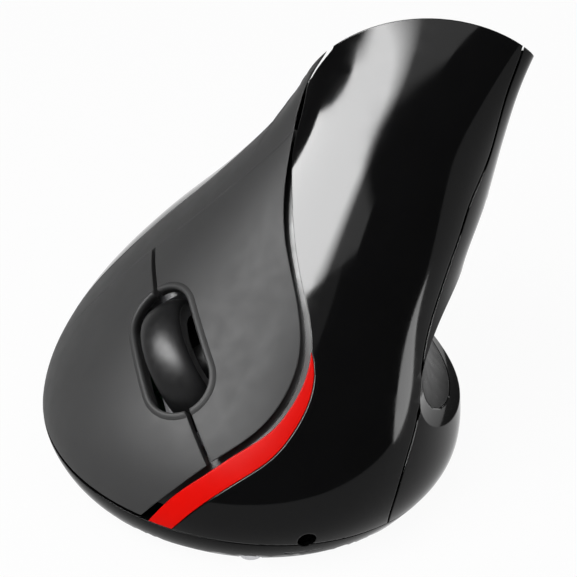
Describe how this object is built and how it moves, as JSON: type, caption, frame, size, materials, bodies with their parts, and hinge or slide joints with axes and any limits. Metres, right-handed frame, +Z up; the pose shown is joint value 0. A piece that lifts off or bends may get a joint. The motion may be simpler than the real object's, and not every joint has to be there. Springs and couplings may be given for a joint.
{
  "type": "vertical ergonomic mouse",
  "caption": "Upright hand-shaped computer mouse: matte finger panel with scroll wheel, glossy leaning front shell, stripe, thumb scoop and flat base on glides.",
  "frame": {"origin": "centre of the bounding box in plan, on the desk surface under the glides", "axes": "+Z up from the desk; -Y is forwards, the way the fingers and the charging inlet point; +X is the thumb side, towards which the fin leans"},
  "size_m": [0.086, 0.0806, 0.0817],
  "materials": {
    "gloss_black": "polished",
    "gloss_dark": "polished",
    "matte_panel": "fine matte texture",
    "red_stripe": "satin",
    "soft_pad": "soft touch matte",
    "inner_black": "matte",
    "inner_grey": "matte",
    "wheel_rubber": "smooth",
    "steel": "plain",
    "board_green": "solder mask",
    "side_key": "polished",
    "glide_grey": "smooth",
    "clear_lens": "clear",
    "battery_wrap": "wrapped"
  },
  "bodies": {
    "shell": {"base_plate": "gloss_dark", "front_shell": "gloss_black", "thumb_side_shell": "gloss_black", "finger_plate": "matte_panel", "accent_stripe": "red_stripe", "thumb_pad": "soft_pad", "inner_frame": "inner_black", "carrier_pin": "steel", "wheel_click_switch": "inner_black", "button_board": "board_green", "index_switch": "inner_black", "middle_switch": "inner_black", "side_button_board": "board_green", "side_switches": "inner_black", "glide_feet": "glide_grey", "case_screws": "steel", "main_board": "board_green", "optical_sensor": "inner_black", "sensor_lens": "clear_lens", "controller_chip": "inner_black", "charging_socket": "inner_black", "power_switch": "inner_black", "battery_cell": "battery_wrap", "board_screws": "steel"},
    "index_button": {"index_button": "matte_panel"},
    "middle_button": {"middle_button": "matte_panel"},
    "wheel_carrier": {"wheel_carrier": "inner_grey", "wheel_encoder": "inner_black"},
    "scroll_wheel": {"wheel_tyre": "wheel_rubber", "wheel_hub": "inner_black"},
    "forward_button": {"forward_button": "side_key"},
    "back_button": {"back_button": "side_key"},
    "power_slider": {"power_slider": "inner_grey"}
  },
  "joints": [
    {"name": "index_press", "type": "hinge", "parent": "shell", "child": "index_button", "pos_m": [-0.02047, 0.01073, 0.03842], "axis": [0.8068, -0.255, 0.533], "range_deg": [0, 1], "stiffness_Nm_per_rad": 1.2},
    {"name": "middle_press", "type": "hinge", "parent": "shell", "child": "middle_button", "pos_m": [-0.02047, 0.01073, 0.03842], "axis": [0.8068, -0.255, 0.533], "range_deg": [0, 1], "stiffness_Nm_per_rad": 1.2},
    {"name": "wheel_press", "type": "hinge", "parent": "shell", "child": "wheel_carrier", "pos_m": [-0.01798, 0.00406, 0.03144], "axis": [0.8068, -0.255, 0.533], "range_deg": [0, 1.4], "stiffness_Nm_per_rad": 1},
    {"name": "wheel_spin", "type": "hinge", "parent": "wheel_carrier", "child": "scroll_wheel", "pos_m": [-0.01885, -0.0105, 0.02581], "axis": [0.8068, -0.255, 0.533], "continuous": true},
    {"name": "forward_press", "type": "slide", "parent": "shell", "child": "forward_button", "axis": [-0.9247, -0.15, 0.3499], "range_m": [0, 0.0006], "stiffness_N_per_m": 800},
    {"name": "back_press", "type": "slide", "parent": "shell", "child": "back_button", "axis": [-0.9247, -0.15, 0.3499], "range_m": [0, 0.0006], "stiffness_N_per_m": 800},
    {"name": "power_slide", "type": "slide", "parent": "shell", "child": "power_slider", "axis": [0, 1, 0], "range_m": [0, 0.0024]}
  ]
}
